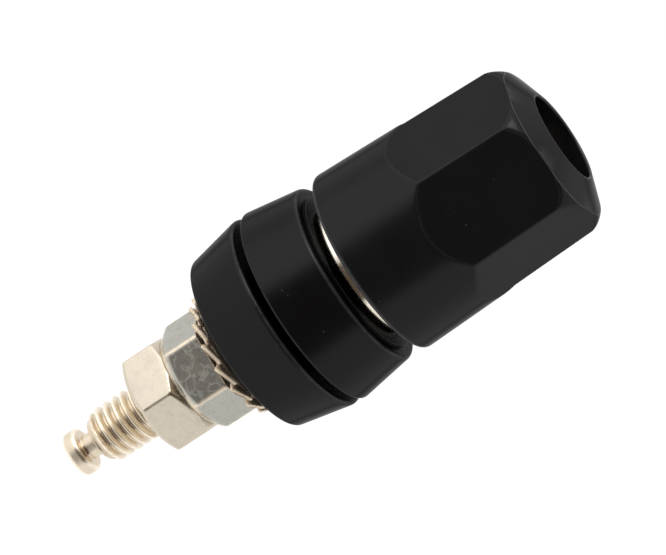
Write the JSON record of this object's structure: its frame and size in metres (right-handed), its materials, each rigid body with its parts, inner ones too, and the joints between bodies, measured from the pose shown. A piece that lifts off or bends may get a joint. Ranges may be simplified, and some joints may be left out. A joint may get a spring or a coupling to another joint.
{
  "type": "banana socket binding post",
  "caption": "Black insulated panel binding post with a plug socket in its mouth, a hexagonal clamp knob, two tapered insulators and a threaded tail with nuts.",
  "frame": {"origin": "on the axis, in the panel plane under the front insulator", "axes": "+Z along the post's axis towards the mouth of the plug socket; +X along the wire hole and through the middle of one of the knob's flats"},
  "size_m": [0.0146, 0.0146, 0.0405],
  "materials": {
    "black_moulding": "satin black thermoplastic moulding",
    "nickel_plate": "bright nickel plate over turned brass",
    "spring_steel": "plated spring steel sheet"
  },
  "bodies": {
    "post": {"stud": "nickel_plate", "front_insulator": "black_moulding", "rear_insulator": "black_moulding", "lock_washer": "spring_steel", "inner_nut": "nickel_plate"},
    "terminal_nut": {"outer_nut": "nickel_plate"},
    "clamp_ring": {"pressure_washer": "nickel_plate"},
    "clamp_knob": {"knob": "black_moulding", "knob_insert": "nickel_plate"}
  },
  "joints": [
    {"name": "knob_lift", "type": "slide", "parent": "post", "child": "clamp_ring", "axis": [0, 0, 1], "range_m": [0, 0.0045]},
    {"name": "knob_turn", "type": "hinge", "parent": "clamp_ring", "child": "clamp_knob", "pos_m": [0, 0, 0.0054], "axis": [0, 0, 1], "range_deg": [0, 2160]},
    {"name": "nut_run", "type": "slide", "parent": "post", "child": "terminal_nut", "axis": [0, 0, -1], "range_m": [0, 0.004]}
  ],
  "couplings": [
    {"joint": "knob_turn", "follows": "knob_lift", "rad_per_m": 8377.6}
  ]
}
